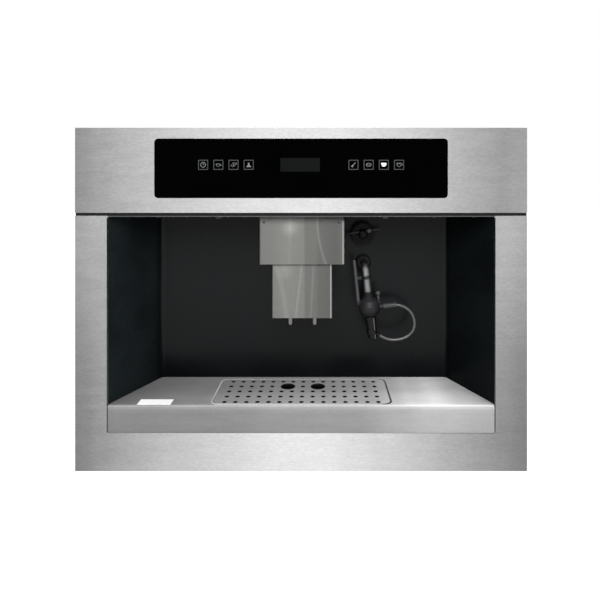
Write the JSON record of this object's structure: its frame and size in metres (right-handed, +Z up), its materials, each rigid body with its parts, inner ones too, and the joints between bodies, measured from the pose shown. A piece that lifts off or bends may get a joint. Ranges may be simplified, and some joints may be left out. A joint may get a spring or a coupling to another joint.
{
  "type": "built in coffee machine",
  "caption": "Built-in coffee machine: stainless front with touch glass, niche with height-adjustable spout, steam wand and drip tray, on pull-out rails.",
  "frame": {"origin": "middle of the footprint, on the shelf that carries the machine", "axes": "+X to the right seen from the front, +Y into the machine, +Z up"},
  "size_m": [0.595, 0.42, 0.454],
  "materials": {
    "brushed_stainless": "fine horizontal brushing",
    "satin_steel": "satin, warm grey",
    "galvanised_sheet": "matt zinc coating",
    "rail_steel": "bright zinc plating",
    "touch_glass": "polished, black behind",
    "circuit_green": "solder mask",
    "niche_black": "satin black",
    "dark_plastic": "fine grain",
    "frother_grey": "satin dark grey",
    "knob_plastic": "satin black",
    "polished_chrome": "polished",
    "hose_silicone": "milky grey",
    "lamp_lens": "frosted",
    "valve_brass": "turned",
    "boiler_steel": "plain",
    "water_hose": "milky",
    "tank_plastic": "clear",
    "hopper_plastic": "smoked clear",
    "cast_metal": "as cast",
    "burr_steel": "ground",
    "motor_metal": "black paint",
    "grey_plastic": "fine grain"
  },
  "bodies": {
    "cradle": {"cradle_plate": "galvanised_sheet", "rail_brackets": "galvanised_sheet", "outer_rails": "rail_steel"},
    "machine": {"inner_rails": "rail_steel", "chassis_pan": "galvanised_sheet", "side_panel_left": "galvanised_sheet", "side_panel_right": "galvanised_sheet", "rear_panel": "galvanised_sheet", "top_cover": "galvanised_sheet", "bulkhead": "galvanised_sheet", "front_frame": "brushed_stainless", "control_panel": "brushed_stainless", "control_glass": "touch_glass", "touch_board": "circuit_green", "niche_liner": "niche_black", "niche_lamps": "lamp_lens", "spout_cover": "satin_steel", "spout_guide": "dark_plastic", "coffee_line": "hose_silicone", "wand_rosette": "dark_plastic", "steam_valve": "valve_brass", "boiler": "boiler_steel", "pump": "motor_metal", "water_hoses": "water_hose", "tank_seat": "grey_plastic", "bean_hopper": "hopper_plastic", "grinder_housing": "cast_metal", "ring_burr": "burr_steel", "grinder_motor": "motor_metal", "grinder_stand": "galvanised_sheet", "brew_frame": "grey_plastic", "brew_chamber": "grey_plastic", "brew_motor": "motor_metal", "coffee_chute": "grey_plastic", "power_board": "circuit_green", "mains_inlet": "dark_plastic"},
    "rail_middle": {"middle_rails": "rail_steel"},
    "spout": {"spout_slider": "satin_steel", "coffee_manifold": "dark_plastic"},
    "drip_tray": {"tray_platform": "brushed_stainless", "drip_pan": "dark_plastic"},
    "grid": {"drip_grid": "brushed_stainless"},
    "wand": {"steam_pipe": "polished_chrome", "wand_grip": "polished_chrome", "frother_body": "frother_grey", "spray_nozzle": "dark_plastic", "milk_hose": "hose_silicone"},
    "air_screw": {"air_valve": "dark_plastic"},
    "knob": {"steam_knob": "knob_plastic"},
    "tank": {"water_tank": "tank_plastic"},
    "tank_cover": {"tank_lid": "grey_plastic"},
    "hopper_cover": {"hopper_lid": "grey_plastic"},
    "chute_cover": {"coffee_flap": "grey_plastic"},
    "grind_setting": {"grind_knob": "dark_plastic"},
    "door": {"service_door": "galvanised_sheet"},
    "grounds": {"grounds_container": "grey_plastic"},
    "burr": {"cone_burr": "burr_steel"},
    "spindle": {"brew_spindle": "rail_steel"},
    "piston": {"brew_piston": "dark_plastic"},
    "rocker": {"mains_rocker": "knob_plastic"}
  },
  "joints": [
    {"name": "pull_out", "type": "slide", "parent": "cradle", "child": "machine", "axis": [0, -1, 0], "range_m": [0, 0.3]},
    {"name": "middle_rail_slide", "type": "slide", "parent": "cradle", "child": "rail_middle", "axis": [0, -1, 0], "range_m": [0, 0.15]},
    {"name": "spout_height", "type": "slide", "parent": "machine", "child": "spout", "axis": [0, 0, 1], "range_m": [0, 0.05]},
    {"name": "drip_drawer", "type": "slide", "parent": "machine", "child": "drip_tray", "axis": [0, -1, 0], "range_m": [0, 0.09]},
    {"name": "grid_lift", "type": "slide", "parent": "drip_tray", "child": "grid", "axis": [0, 0, 1], "range_m": [0, 0.04]},
    {"name": "wand_swing", "type": "hinge", "parent": "machine", "child": "wand", "pos_m": [0.0896, -0.147, 0.2625], "axis": [0, 1, 0], "range_deg": [-45, 8]},
    {"name": "air_screw_turn", "type": "hinge", "parent": "wand", "child": "air_screw", "pos_m": [0.10915, -0.147, 0.21327], "axis": [-0.1045, 0, 0.9945], "range_deg": [-90, 90]},
    {"name": "steam_knob_turn", "type": "hinge", "parent": "machine", "child": "knob", "pos_m": [0.088, -0.112, 0.306], "axis": [0, -1, 0], "range_deg": [0, 180]},
    {"name": "tank_lift", "type": "slide", "parent": "machine", "child": "tank", "axis": [0, 0, 1], "range_m": [0, 0.28]},
    {"name": "tank_lid_hinge", "type": "hinge", "parent": "tank", "child": "tank_cover", "pos_m": [-0.195, 0.1086, 0.4457], "axis": [-1, 0, 0], "range_deg": [0, 100]},
    {"name": "hopper_lid_hinge", "type": "hinge", "parent": "machine", "child": "hopper_cover", "pos_m": [0.015, 0.1736, 0.4457], "axis": [-1, 0, 0], "range_deg": [0, 100]},
    {"name": "coffee_flap_hinge", "type": "hinge", "parent": "machine", "child": "chute_cover", "pos_m": [0.17, 0.1106, 0.4457], "axis": [-1, 0, 0], "range_deg": [0, 100]},
    {"name": "grind_setting_turn", "type": "hinge", "parent": "machine", "child": "grind_setting", "pos_m": [-0.1, 0.095, 0.4415], "axis": [0, 0, 1], "range_deg": [-120, 120]},
    {"name": "service_door_hinge", "type": "hinge", "parent": "machine", "child": "door", "pos_m": [0.2628, 0.1536, 0.246], "axis": [0, 0, 1], "range_deg": [0, 110]},
    {"name": "grounds_drawer", "type": "slide", "parent": "machine", "child": "grounds", "axis": [1, 0, 0], "range_m": [0, 0.13]},
    {"name": "burr_spin", "type": "hinge", "parent": "machine", "child": "burr", "pos_m": [0.015, 0.095, 0.3], "axis": [0, 0, 1], "continuous": true},
    {"name": "spindle_turn", "type": "hinge", "parent": "machine", "child": "spindle", "pos_m": [0.126, 0.085, 0.24], "axis": [0, 0, 1], "range_deg": [0, 1350]},
    {"name": "piston_lift", "type": "slide", "parent": "machine", "child": "piston", "axis": [0, 0, 1], "range_m": [0, 0.03]},
    {"name": "mains_switch", "type": "hinge", "parent": "machine", "child": "rocker", "pos_m": [-0.15, 0.204, 0.058], "axis": [-1, 0, 0], "range_deg": [0, 16]}
  ],
  "couplings": [
    {"joint": "middle_rail_slide", "follows": "pull_out", "ratio": 0.5},
    {"joint": "spindle_turn", "follows": "piston_lift", "rad_per_m": 785.39}
  ]
}
